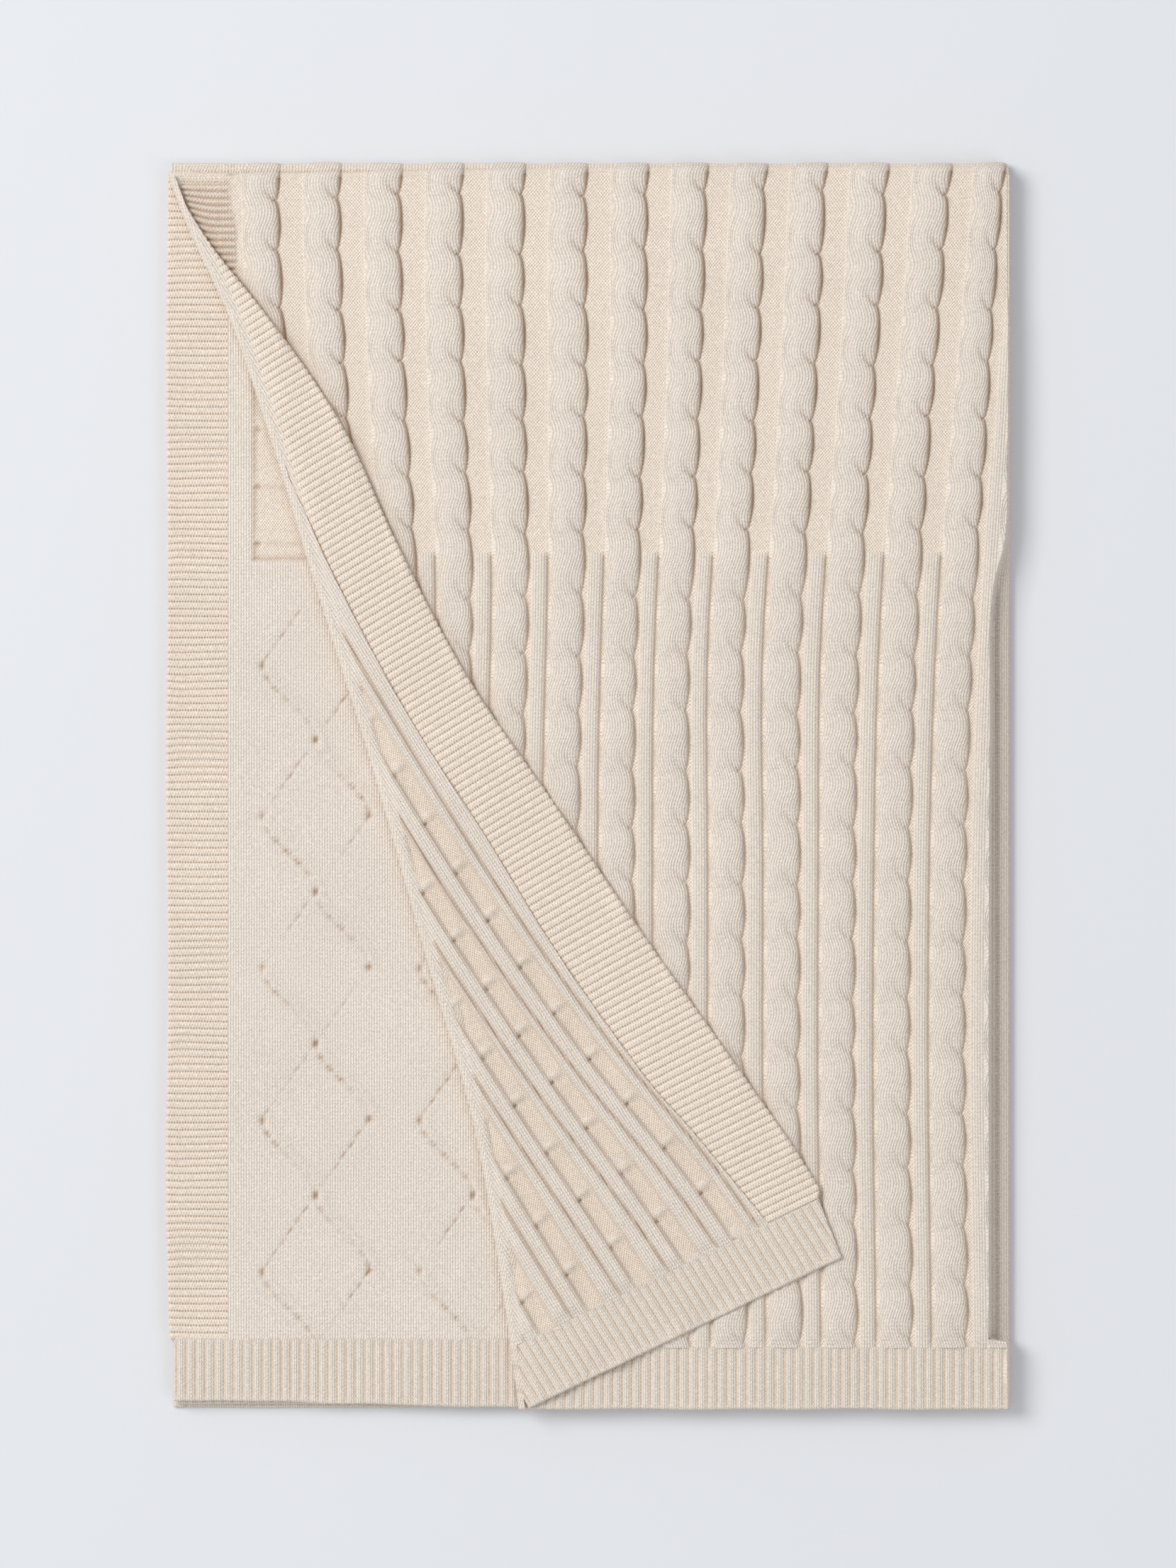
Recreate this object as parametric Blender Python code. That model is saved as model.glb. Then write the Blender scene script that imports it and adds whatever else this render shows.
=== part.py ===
"""A cable-knit throw blanket folded in quarters, with one top corner leaf turned back.

Metres, +Z up, +Y towards the fold across the top, origin under the middle of the pile.
Four plies of cloth lie on each other. From the bottom they are the lower outer ply, the
lower inner ply, the upper inner ply and the upper outer ply, and the turned-back corner
lies on the last one. Each ply is split into its main panel, its garter side band and its
ribbed end, and every fold is a strip of its own.
"""

import math

import bmesh
import bpy
import numpy as np

# The pile
HALF_WIDTH = 0.3235
CREST_LOWER = 0.4775
CREST_UPPER = 0.4727
BOTTOM = -0.4775

# The cloth
THICK = 0.0056
PITCH = 0.0060
BAND = 0.0470
RIB = 0.0475
GAP = 0.0003
CHAMFER = 0.0012
FOLD_STEPS = 8

# Levels of the underside of each ply, from the floor up
LEVELS = [PITCH * number for number in range(5)]
FOLD_OUTER = PITCH - (PITCH - THICK) / 2
FOLD_INNER = (PITCH - THICK) / 2

# The side fold turns about one line, midway up the four plies
SIDE_OUTER = 2 * PITCH - (PITCH - THICK) / 2
SIDE_SEAM = HALF_WIDTH - SIDE_OUTER

# The turned-back corner folds along a slanted line, x = DIAGONAL_X + DIAGONAL_SLOPE * y
DIAGONAL_X = -0.1715
DIAGONAL_SLOPE = -0.2826
DIAGONAL_BOW = 0.0095
DIAGONAL_ENDS = 0.0185
SEAM_OFFSET = 0.0170

# The corner's outline, before it is turned back: its free edge and its ribbed end
CORNER_EDGE_TOP = (-0.2860, 0.4640)
CORNER_EDGE_LOW = (-0.3000, -0.4500)
CORNER_END_LEFT = (-0.2975, -0.4965)
CORNER_END_RIGHT = -0.4770

CREAM = (0.83, 0.78, 0.70)
SHADED_CREAM = (0.76, 0.70, 0.61)


def clear_scene():
    for thing in list(bpy.data.objects):
        bpy.data.objects.remove(thing, do_unlink=True)


def knit_material(name, colour):
    made = bpy.data.materials.new(name)
    made.use_nodes = True
    shader = made.node_tree.nodes["Principled BSDF"]
    shader.inputs["Base Color"].default_value = (*colour, 1.0)
    shader.inputs["Roughness"].default_value = 0.95
    shader.inputs["Metallic"].default_value = 0.0
    return made


def add_rings(name, rings, material, smooth=False):
    """A closed solid through rings of points that run round the same way, capped at both ends."""
    mesh = bmesh.new()
    made = [[mesh.verts.new(point) for point in ring] for ring in rings]
    count = len(made[0])
    for low, high in zip(made[:-1], made[1:]):
        for at in range(count):
            after = (at + 1) % count
            mesh.faces.new((low[at], low[after], high[after], high[at]))
    mesh.faces.new(made[0][::-1])
    mesh.faces.new(made[-1])
    bmesh.ops.recalc_face_normals(mesh, faces=mesh.faces)
    data = bpy.data.meshes.new(name)
    mesh.to_mesh(data)
    mesh.free()
    data.materials.append(material)
    if smooth:
        data.shade_smooth()
        data.set_sharp_from_angle(angle=math.radians(50))
    thing = bpy.data.objects.new(name, data)
    bpy.context.scene.collection.objects.link(thing)
    return thing


def inset(outline, by):
    """The outline, anticlockwise, moved inwards by a distance."""
    points = np.array(outline, float)
    before = points - np.roll(points, 1, axis=0)
    after = np.roll(points, -1, axis=0) - points
    before /= np.linalg.norm(before, axis=1)[:, None]
    after /= np.linalg.norm(after, axis=1)[:, None]
    normal_before = np.stack([-before[:, 1], before[:, 0]], axis=1)
    normal_after = np.stack([-after[:, 1], after[:, 0]], axis=1)
    middle = normal_before + normal_after
    share = 1 + (normal_before * normal_after).sum(axis=1)
    return points + by * middle / share[:, None]


def add_slab(name, outline, level, material):
    """A flat piece of cloth of one thickness, with its rim chamfered above and below."""
    small = inset(outline, CHAMFER)
    outline = np.array(outline, float)
    heights = [level, level + CHAMFER, level + THICK - CHAMFER, level + THICK]
    shapes = [small, outline, outline, small]
    rings = [[(x, y, z) for x, y in shape] for shape, z in zip(shapes, heights)]
    return add_rings(name, rings, material)


def box_outline(left, right, low, high):
    return [(left, low), (right, low), (right, high), (left, high)]


def bend(outer, inner, centre):
    """Half a ring as (out, up) pairs: out from the seam, up from the floor, outside then inside."""
    angles = np.linspace(-math.pi / 2, math.pi / 2, FOLD_STEPS + 1)
    outside = [(outer * math.cos(a), centre + outer * math.sin(a)) for a in angles]
    inside = [(inner * math.cos(a), centre + inner * math.sin(a)) for a in angles[::-1]]
    return outside + inside


def diagonal_seam(y):
    """Where the flat cloth beside the diagonal fold ends."""
    return DIAGONAL_X + DIAGONAL_SLOPE * y + SEAM_OFFSET


def diagonal_fold(y):
    """The outermost line of the diagonal fold: a shallow bow, steeper near its two ends."""
    share = (y - BOTTOM) / (CREST_UPPER - BOTTOM)
    bow = DIAGONAL_BOW - (DIAGONAL_BOW + DIAGONAL_ENDS) * abs(2 * share - 1) ** 4
    return DIAGONAL_X + DIAGONAL_SLOPE * y + bow


def turned_back(point):
    """A point of the flat corner, mirrored in the diagonal line on to the ply beside it."""
    length = math.hypot(DIAGONAL_SLOPE, 1.0)
    along = np.array([DIAGONAL_SLOPE, 1.0]) / length
    start = np.array([DIAGONAL_X, 0.0])
    offset = np.array(point, float) - start
    return tuple(start + 2 * offset.dot(along) * along - offset)


def between(first, second, share):
    return tuple(a + (b - a) * share for a, b in zip(first, second))


def corner_edge(y):
    """The free edge of the turned-back corner, as an x for a given y."""
    top = turned_back(CORNER_EDGE_TOP)
    low = turned_back(CORNER_EDGE_LOW)
    return low[0] + (top[0] - low[0]) * (y - low[1]) / (top[1] - low[1])


clear_scene()
cream = knit_material("cream_knit", CREAM)
shaded = knit_material("shaded_knit", SHADED_CREAM)

# The three plies whose left side is open: panel, garter side band and ribbed end
# Each row holds the ply's name, its level, its left and bottom edges, its top seam
lower_top = CREST_LOWER - FOLD_OUTER
upper_top = CREST_UPPER - FOLD_OUTER
for ply, level, left, low, high, paint in (
    ("lower_outer", LEVELS[0], -HALF_WIDTH, BOTTOM, lower_top, shaded),
    ("lower_inner", LEVELS[1], -HALF_WIDTH + 0.0020, BOTTOM + 0.0030, lower_top, shaded),
    ("upper_inner", LEVELS[2], -HALF_WIDTH + 0.0005, BOTTOM + 0.0015, upper_top, cream),
):
    rib_top = low + RIB
    right = SIDE_SEAM - GAP
    band_right = left + BAND
    add_slab(ply + "_end_rib", box_outline(left, right, low, rib_top - GAP), level, paint)
    add_slab(ply + "_side_band", box_outline(left, band_right, rib_top, high - GAP), level, paint)
    panel = box_outline(band_right + GAP, right, rib_top, high - GAP)
    add_slab(ply + "_panel", panel, level, paint)

# The upper outer ply starts at the diagonal fold, and has no band of its own beyond it
low = BOTTOM + 0.0005
rib_top = low + RIB
right = SIDE_SEAM - GAP
high = upper_top - GAP
panel = [
    (diagonal_seam(rib_top), rib_top),
    (right, rib_top),
    (right, high),
    (diagonal_seam(high), high),
]
add_slab("upper_outer_panel", panel, LEVELS[3], cream)
rib = [
    (diagonal_seam(low), low),
    (right, low),
    (right, rib_top - GAP),
    (diagonal_seam(rib_top - GAP), rib_top - GAP),
]
add_slab("upper_outer_end_rib", rib, LEVELS[3], cream)

# The fold across the top of each pair of plies
for name, level, seam, left, paint in (
    ("lower_top_fold", LEVELS[0], lower_top, -HALF_WIDTH, shaded),
    ("upper_top_fold", LEVELS[2], upper_top, -HALF_WIDTH + 0.0005, cream),
):
    profile = bend(FOLD_OUTER, FOLD_INNER, level + FOLD_OUTER)
    ends = (left, SIDE_SEAM - GAP)
    rings = [[(x, seam + out, up) for out, up in profile] for x in ends]
    add_rings(name, rings, paint, smooth=True)

# The fold down the right side, which joins the upper pair of plies to the lower pair
for name, outer, inner, high, paint in (
    ("side_fold_outer", SIDE_OUTER, PITCH + FOLD_INNER, upper_top, cream),
    ("side_fold_inner", FOLD_OUTER, FOLD_INNER, upper_top - 0.0060, shaded),
):
    profile = bend(outer, inner, SIDE_OUTER)
    ends = (BOTTOM + 0.0015, high)
    rings = [[(SIDE_SEAM + out, y, up) for out, up in profile] for y in ends]
    add_rings(name, rings, paint, smooth=True)

# The diagonal fold of the turned-back corner: two flat legs joined by a half-round bend
rings = []
for y in np.linspace(low, high, 15):
    centre = diagonal_fold(y) + FOLD_OUTER
    seam = diagonal_seam(y) - GAP
    middle = LEVELS[3] + FOLD_OUTER
    ring = [(centre - out, y, up) for out, up in bend(FOLD_OUTER, FOLD_INNER, middle)]
    lower_leg = [(seam, y, middle - FOLD_INNER), (seam, y, middle - FOLD_OUTER)]
    tip = max(min(seam, corner_edge(y)), centre + 0.0015)
    upper_leg = [(tip, y, middle + FOLD_OUTER), (tip, y, middle + FOLD_INNER)]
    half = FOLD_STEPS + 1
    rings.append(ring[:half] + upper_leg + ring[half:] + lower_leg)
add_rings("corner_fold", rings, cream, smooth=True)

# The turned-back corner itself, drawn flat and then mirrored in the diagonal
def corner_seam(y):
    """Where the flat cloth of the corner ends, before it is turned back."""
    return 2 * DIAGONAL_X + 2 * DIAGONAL_SLOPE * y - diagonal_seam(y)


def add_corner_slab(name, outline):
    """A slab of the corner from its flat outline, which runs anticlockwise."""
    add_slab(name, [turned_back(point) for point in outline[::-1]], LEVELS[4], cream)


def rib_line(x, lift):
    """A point of the slanted line where the corner's ribbed end begins."""
    across = (x - rib_left[0]) / (rib_right[0] - rib_left[0])
    return (x, rib_left[1] + (rib_right[1] - rib_left[1]) * across + lift)


end_low_right = (corner_seam(CORNER_END_RIGHT), CORNER_END_RIGHT)
rib_left = (CORNER_EDGE_LOW[0], CORNER_END_LEFT[1] + RIB)
rib_right = (corner_seam(CORNER_END_RIGHT + RIB), CORNER_END_RIGHT + RIB)
add_corner_slab("corner_end_rib", [CORNER_END_LEFT, end_low_right, rib_right, rib_left])

meet_y = 0.1900
tip_y = 0.3200
band_inner = rib_line(CORNER_EDGE_LOW[0] + BAND, 2 * GAP)
side_band = [
    rib_line(CORNER_EDGE_LOW[0], 2 * GAP),
    band_inner,
    (corner_seam(meet_y), meet_y),
    (corner_seam(tip_y), tip_y),
    between(CORNER_EDGE_TOP, CORNER_EDGE_LOW, 0.1550),
]
add_corner_slab("corner_side_band", side_band)

panel_right_y = rib_right[1] + 2 * GAP
panel_top_y = meet_y - 0.0040
panel = [
    rib_line(band_inner[0] + 2 * GAP, 2 * GAP),
    (corner_seam(panel_right_y), panel_right_y),
    (corner_seam(panel_top_y), panel_top_y),
]
add_corner_slab("corner_panel", panel)
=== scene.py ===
"""A cream cable-knit throw, folded in quarters and laid flat, with one corner turned back.

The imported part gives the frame: four plies of cloth, the folds that join them and the
turned-back corner. Each piece of cloth below is a grid surface whose height is a formula
of the knitting: cables, ribs, garter ridges and the reverse of each. Lengths are in metres.
x runs to the right, y towards the fold across the top, and z up from the floor.
"""

import math

import bpy
import numpy as np
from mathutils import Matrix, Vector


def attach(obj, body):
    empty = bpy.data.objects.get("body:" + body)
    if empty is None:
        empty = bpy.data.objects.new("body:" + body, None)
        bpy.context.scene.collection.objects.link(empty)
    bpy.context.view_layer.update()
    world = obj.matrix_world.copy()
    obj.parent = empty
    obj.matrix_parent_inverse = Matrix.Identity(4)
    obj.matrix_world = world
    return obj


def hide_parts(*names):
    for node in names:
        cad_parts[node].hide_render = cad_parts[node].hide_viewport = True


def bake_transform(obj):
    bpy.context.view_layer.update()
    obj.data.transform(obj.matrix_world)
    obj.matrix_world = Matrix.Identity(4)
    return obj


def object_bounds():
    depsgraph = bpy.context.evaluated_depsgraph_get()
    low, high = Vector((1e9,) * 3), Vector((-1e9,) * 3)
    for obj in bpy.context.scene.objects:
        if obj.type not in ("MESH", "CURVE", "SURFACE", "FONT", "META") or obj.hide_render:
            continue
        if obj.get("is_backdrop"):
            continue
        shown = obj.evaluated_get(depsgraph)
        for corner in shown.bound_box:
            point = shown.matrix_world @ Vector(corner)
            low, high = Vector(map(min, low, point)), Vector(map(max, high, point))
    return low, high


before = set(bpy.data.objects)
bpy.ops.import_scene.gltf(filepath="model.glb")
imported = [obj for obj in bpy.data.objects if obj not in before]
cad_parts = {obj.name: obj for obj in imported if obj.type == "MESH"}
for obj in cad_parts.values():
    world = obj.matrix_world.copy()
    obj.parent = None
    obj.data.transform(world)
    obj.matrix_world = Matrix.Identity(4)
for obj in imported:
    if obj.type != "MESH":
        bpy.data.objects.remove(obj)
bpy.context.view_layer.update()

# ---------------------------------------------------------------------------------------
# Upper outer ply, right side up: the cabled field seen from above, in three pieces of grid.
# One knitted cloth of soft, slightly fuzzy cream yarn. Cables run from the fold across the
# top to the ribbed end, on plain purl ground at first and beside narrow ribs below it.

# The stitches: a column of them is one wale wide and a row one course high. A garter ridge
# takes two rows. A cable and the rib beside it take one column, a cable crosses once in each
# repeat, and a rib with the purl beside it takes one period of the ribbed end.
WALE = 0.0042
COURSE = 0.00277
RIDGE = 2 * COURSE
COLUMN = 0.0437
REPEAT = 0.0437
RIB_PERIOD = 0.00727

# The pile: each ply starts at its level and its ground lies GROUND above that, on gentle
# waves FIELD_WAVE high. FOLD is the way from a fold's outermost line to where it meets its
# ply. Down the pile come the upper crest's seam, the first narrow ribs, the ribbed end and
# its cast-off edge. The right side is at PILE_RIGHT, and a garter band is BAND wide.
PLY_LEVEL = [0.0, 0.0060, 0.0120, 0.0180, 0.0240]
GROUND = 0.0034
FIELD_WAVE = 0.0005
FOLD = 0.0050
TOP_SEAM = 0.4671
RIB_START = 0.1800
END_RIB_TOP = -0.4295
BOTTOM = -0.4765
PILE_RIGHT = 0.3222
BAND = 0.0475


def through(at, places, values):
    """A smooth line through given values: cubic Hermite pieces with finite-difference slopes."""
    places = np.array(places, float)
    values = np.array(values, float)
    slope = np.gradient(values, places)
    at = np.clip(np.asarray(at, float), places[0], places[-1])
    part = np.clip(np.searchsorted(places, at, side="right") - 1, 0, len(places) - 2)
    width = places[part + 1] - places[part]
    t = (at - places[part]) / width
    rise = values[part + 1] - values[part]
    start = slope[part] * width
    end = slope[part + 1] * width
    return values[part] + start * t + (3 * rise - 2 * start - end) * t**2 + (start + end - 2 * rise) * t**3


def ease(value, low, high):
    """0 below low, 1 above high, and 3t^2 - 2t^3 between them."""
    t = np.clip((value - low) / (high - low), 0, 1)
    return t * t * (3 - 2 * t)


def ripple(x, y, size, seed):
    """Gentle unevenness between -1 and 1: three sine waves of about one size, crossed."""
    rng = np.random.default_rng(seed)
    total = 0
    for _ in range(3):
        angle = rng.uniform(0, math.pi)
        phase = rng.uniform(0, 2 * math.pi)
        along = x * math.cos(angle) + y * math.sin(angle)
        total = total + np.sin(2 * math.pi * along / (size * rng.uniform(0.7, 1.4)) + phase)
    return total / 3


def fold_line(y):
    """x of the diagonal fold's outermost line: a smooth line that bows a little."""
    return through(
        y,
        [-0.478, -0.382, -0.262, -0.124, 0.014, 0.158, 0.266, 0.362, 0.428, 0.469],
        [-0.0535, -0.0667, -0.0877, -0.1267, -0.1657, -0.2107, -0.2437, -0.2767, -0.3067, -0.3225],
    )


def turned_back(x, y):
    """Points mirrored in the diagonal that the corner turns on, x = start + slope y.

    Each point's place along the line is found, and the point goes as far beyond it.
    """
    start, slope = -0.1715, -0.2826
    length = math.hypot(slope, 1)
    dx, dy = slope / length, 1 / length
    along = (x - start) * dx + y * dy
    return 2 * (start + along * dx) - x, 2 * along * dy - y


def corner_edge(y):
    """x of the turned-back corner's free edge, drawn flat: a smooth line that waves a little."""
    return through(
        y,
        [
            -0.497, -0.470, -0.445, -0.433, -0.400, -0.340, -0.207,
            -0.080, 0.026, 0.154, 0.240, 0.356, 0.412, 0.476,
        ],
        [
            -0.2935, -0.2980, -0.3030, -0.3055, -0.3068, -0.3036, -0.2940,
            -0.2877, -0.2821, -0.2906, -0.3008, -0.2950, -0.2880, -0.2877,
        ],
    )


def side_line(y):
    """x of the upper ply's outermost line where it rolls over at the right.

    It lies further in beside the ribs, and comes out again at the ribbed end.
    """
    line = through(
        y,
        [-0.477, -0.400, -0.100, 0.060, 0.140, 0.160, 0.175, 0.195, 0.240, 0.470],
        [0.3080, 0.3080, 0.3082, 0.3090, 0.3102, 0.3128, 0.3175, 0.3210, 0.3221, 0.3222],
    )
    return line + (PILE_RIGHT - line) * ease(-y, 0.4232, 0.4246)


def drift(x, y):
    """How far the knitting is pulled sideways: a bell curve in each of four broad places."""
    total = 0 * x
    for pull, at_x, at_y, wide, long in (
        (0.0048, 0.020, 0.330, 0.065, 0.115),
        (-0.0048, 0.120, 0.105, 0.085, 0.110),
        (-0.0036, 0.200, 0.455, 0.090, 0.060),
        (-0.0080, 0.322, 0.430, 0.024, 0.150),
    ):
        total = total + pull * np.exp(-(((x - at_x) / wide) ** 2) - ((y - at_y) / long) ** 2)
    return total


def column_centre(y):
    """x of the rightmost cable's middle, which bends outwards where there are no ribs."""
    return through(
        y,
        [-0.478, -0.418, -0.178, 0.002, 0.182, 0.284, 0.380, 0.452, 0.500],
        [0.2770, 0.2765, 0.2741, 0.2765, 0.2848, 0.2933, 0.3030, 0.3113, 0.3160],
    )


def column_pitch(y):
    """Distance from one cable to the next: a smooth line, as the ribs draw the cloth in."""
    return through(
        y,
        [-0.478, 0.000, 0.173, 0.300, 0.452, 0.500],
        [0.0423, 0.0424, 0.0430, 0.0448, 0.0468, 0.0472],
    )


def crossing_count(y):
    """Counts the cable crossings down from the fold: a whole number at each crossing.

    Straight lines between four places: below the start of the ribs the crossings come once
    in each repeat, and above it they come a little further apart or closer.
    """
    last = 7 + 0.7446 / REPEAT
    return np.interp(y, [-0.600, 0.1446, 0.1958, 0.5368], [last, 7, 6, -2])


def column_place(x, y):
    """(distance right of the nearest cable's middle, crossings passed, its column number).

    Columns are counted leftwards from the rightmost cable in steps of the pitch.
    """
    steps = (column_centre(y) - x + drift(x, y)) / column_pitch(y)
    nearest = np.round(steps)
    return (nearest - steps) * column_pitch(y), crossing_count(y), nearest


def cable(across, count, column, ribbed):
    """(height, pillow from 0 to 1) of one six-stitch cable. across is measured from its middle.

    The pillow is (1 - |r|^4)^0.5 from the cable's left edge to its right one, which is a chain
    of arcs |sin|^0.42 with a notch at each crossing. Where there are no ribs the left side
    runs out gently instead. On the pillow lie a bulge half way between crossings, a crease
    that runs up and to the left from each notch, and a tuck where the left strands pass under.
    """
    turn = count + 0.05 * np.sin(5.1 * column + 2.3 * np.round(count))
    part = turn - np.floor(turn)
    after = part * REPEAT
    before = REPEAT - after
    near = np.minimum(after, before)

    right = 0.0094 + 0.0040 * np.abs(np.sin(math.pi * turn)) ** 0.42
    left = -0.0124 + 0.0006 * np.exp(-((near / 0.006) ** 2))
    middle = (right + left) / 2
    reach = np.abs(across - middle) / ((right - left) / 2)
    steep = np.sqrt(np.clip(1 - np.clip(reach, 0, 1) ** 4.0, 0, 1))
    gentle = ease(across, -0.0190, -0.0020) * np.where(across > middle, steep, 1.0)
    pillow = steep * ribbed + gentle * (1 - ribbed)

    bulge = np.exp(-(((part - 0.52) / 0.28) ** 2)) * ease(across, -0.0120, 0.0010)
    strand = np.exp(-(((across + 0.0088) / 0.0008) ** 2))
    height = (0.0036 + 0.0017 * bulge - 0.0003 * strand) * pillow

    crease = 0.0098 * np.exp(-before / 0.0066) - 0.0006
    fade = np.exp(-((before / 0.0125) ** 2)) * (before < 0.5 * REPEAT)
    height -= 0.0013 * fade * np.exp(-(((across - crease) / 0.0014) ** 2)) * (pillow > 0)
    tongue = ease(across - crease, 0.0, 0.0025) * fade
    height -= 0.0009 * tongue * pillow

    tuck_line = 0.0040 + 0.0012 * np.sin(across / 0.0040)
    tuck = np.exp(-(((after - tuck_line) / 0.0014) ** 2)) * ease(-across, -0.0005, 0.0050)
    below = ease(after - tuck_line, 0.0, 0.0010) * np.exp(-after / 0.010) * ease(-across, -0.0020, 0.0040)
    height -= (0.0012 * tuck + 0.0005 * below) * pillow
    return np.clip(height, 0, None), pillow


def outer_relief(x, y):
    """(height above the ground, how far it is purl) of the right side of the cloth.

    The higher of the cable and of the narrow rib half way to the next cable, which is
    (1 - |r|^2.6)^0.5 across with a fine line down its middle. Beyond the last cable the rib
    is wider and runs on into the side fold. Left of the field is the garter band.
    """
    across, count, column = column_place(x, y)
    ribbed = ease(-y, -RIB_START, -RIB_START + 0.004)
    cabled, on_cable = cable(across, count, column, ribbed)
    half = column_pitch(y) / 2
    last = x > column_centre(y) + 0.0130
    from_rib = np.where(across > 0, half + 0.0003 - across, across + half - 0.0003)
    from_rib = np.where(last, x - (column_centre(y) + 0.0247), from_rib)
    rib_half = np.where(last, 0.0070, 0.0059)
    round_rib = np.sqrt(np.clip(1 - np.clip(np.abs(from_rib) / rib_half, 0, 1) ** 2.6, 0, 1))
    round_rib = np.where(last & (from_rib > 0), 1.0, round_rib)
    centre_line = np.exp(-((from_rib / 0.0007) ** 2)) * np.where(last, 0.3, 1.0)
    present = np.where(last, 1.0, ribbed)
    rib = present * (0.0027 - 0.0003 * centre_line) * round_rib
    height = np.maximum(cabled, rib)
    on_knit = np.maximum(on_cable, present * round_rib)
    banded, along = outer_band(x, y)
    ridges = garter(along - RIB_START) * 0.0028 - 0.0008
    height = height * (1 - banded) + ridges * banded
    purl = (1 - np.clip(on_knit * 3, 0, 1)) * (1 - banded) + banded * 0.7
    return height, purl


def band_sweep(x, along):
    """How far the garter band's ridges rise towards the left edge: two eased steps multiplied.

    They are level at the band's inner side and beside the fold across the top, and sweep in
    full from 40 mm below it.
    """
    return 0.014 * ease(-x, 0.284, 0.335) * ease(TOP_SEAM - along, 0.0, 0.040)


def outer_band(x, y):
    """(1 in the garter band and 0 beside it, place along the band) of the top ply.

    The ridges sweep upwards, so the place along the band is y less the sweep there. It is
    found by putting it back into that formula eight times.
    """
    border = -0.2700 - 0.0065 * ease(y, 0.420, 0.465)
    along = y
    for _ in range(8):
        along = y - band_sweep(x, along)
    return ease(border - x, -0.0012, 0.0012), along


def garter(along):
    """Garter ridges, one for each two rows of stitches: |sin|^0.55, from 0 to 1."""
    return np.abs(np.sin(math.pi * along / RIDGE)) ** 0.55


def blur(values, rows, columns):
    """The mean over a window of 2 rows + 1 by 2 columns + 1 points, edges repeated.

    A running total is taken along each axis, and its far end less its near end is the sum.
    """
    for axis, width in ((0, rows), (1, columns)):
        pad = [(0, 0), (0, 0)]
        pad[axis] = (width + 1, width)
        total = np.cumsum(np.pad(values, pad, mode="edge"), axis=axis)
        size = values.shape[axis]
        high = np.take(total, np.arange(2 * width + 1, 2 * width + 1 + size), axis=axis)
        low = np.take(total, np.arange(0, size), axis=axis)
        values = (high - low) / (2 * width + 1)
    return values


def hollows(height, rows=2, columns=3, depth=0.0011):
    """How far each point lies below the mean of its surroundings, over depth, from 0 to 1."""
    return np.clip((blur(height, rows, columns) - height) / depth, 0, 1)


def lee(height, columns, depth):
    """How far each point lies below the mean of the cloth just left of it: (way / depth)^1.5."""
    padded = np.pad(height, ((0, 0), (columns, 0)), mode="edge")
    left = sum(padded[:, step : step + height.shape[1]] for step in range(columns)) / columns
    return np.clip((left - height) / depth, 0, 1) ** 1.5


def cloth(name, top, under, stitches, purl, painted_shade, material, keep=None):
    """A sheet of cloth from a grid of points, its rows running up y and columns along x.

    top and under are (x, y, z) arrays. With under the sheet is closed round its rim, and
    without it only the upper surface is made. keep marks the grid squares to make. stitches
    is the stitch map (u, v). purl, from 0 to 1, tells the yarn where the cloth is purl, and the
    painted shade, from 0 to 1, how far its colour is darkened towards the shade colour.
    """
    rows, columns = top[0].shape
    number = np.arange(rows * columns).reshape(rows, columns)
    square = np.stack([number[:-1, :-1], number[:-1, 1:], number[1:, 1:], number[1:, :-1]], axis=-1)
    faces = square[keep] if keep is not None else square.reshape(-1, 4)
    points = np.stack([np.broadcast_to(part, (rows, columns)) for part in top], axis=-1).reshape(-1, 3)
    if under is not None:
        faces = faces.reshape(-1, 4)
        start, end = faces.ravel(), np.roll(faces, -1, axis=1).ravel()
        lone = ~np.isin(start * rows * columns + end, end * rows * columns + start)
        start, end, below = start[lone], end[lone], rows * columns
        walls = np.stack([end, start, start + below, end + below], axis=-1)
        faces = np.concatenate([faces, faces[:, ::-1] + below, walls])
        below = np.stack([np.broadcast_to(part, (rows, columns)) for part in under], axis=-1)
        points = np.concatenate([points, below.reshape(-1, 3)])
    used = np.unique(faces)
    order = np.full(len(points), -1)
    order[used] = np.arange(len(used))
    faces = order[faces]
    mesh = bpy.data.meshes.new(name)
    mesh.vertices.add(len(used))
    mesh.vertices.foreach_set("co", points[used].astype(np.float32).ravel())
    mesh.loops.add(faces.size)
    mesh.loops.foreach_set("vertex_index", faces.ravel().astype(np.int32))
    mesh.polygons.add(len(faces))
    mesh.polygons.foreach_set("loop_start", np.arange(0, faces.size, 4, dtype=np.int32))
    mesh.update(calc_edges=True)
    mesh.shade_smooth()
    mesh.set_sharp_from_angle(angle=math.radians(72))
    twice = 2 if under is not None else 1
    spread = [np.tile(np.broadcast_to(part, (rows, columns)).ravel(), twice)[used] for part in stitches]
    layer = mesh.uv_layers.new(name="stitches")
    layer.data.foreach_set("uv", np.stack(spread, axis=-1)[faces.ravel()].astype(np.float32).ravel())
    # Stored on the points for the yarn: how far the cloth is purl, and its painted shade
    for label, values in (("purl", purl), ("painted_shade", painted_shade)):
        attribute = mesh.attributes.new(label, "FLOAT", "POINT")
        flat = np.tile(np.broadcast_to(values, (rows, columns)).ravel(), twice)[used]
        attribute.data.foreach_set("value", flat.astype(np.float32))
    mesh.materials.append(material)
    mesh.validate()
    piece = bpy.data.objects.new(name, mesh)
    bpy.context.scene.collection.objects.link(piece)
    return piece


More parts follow.
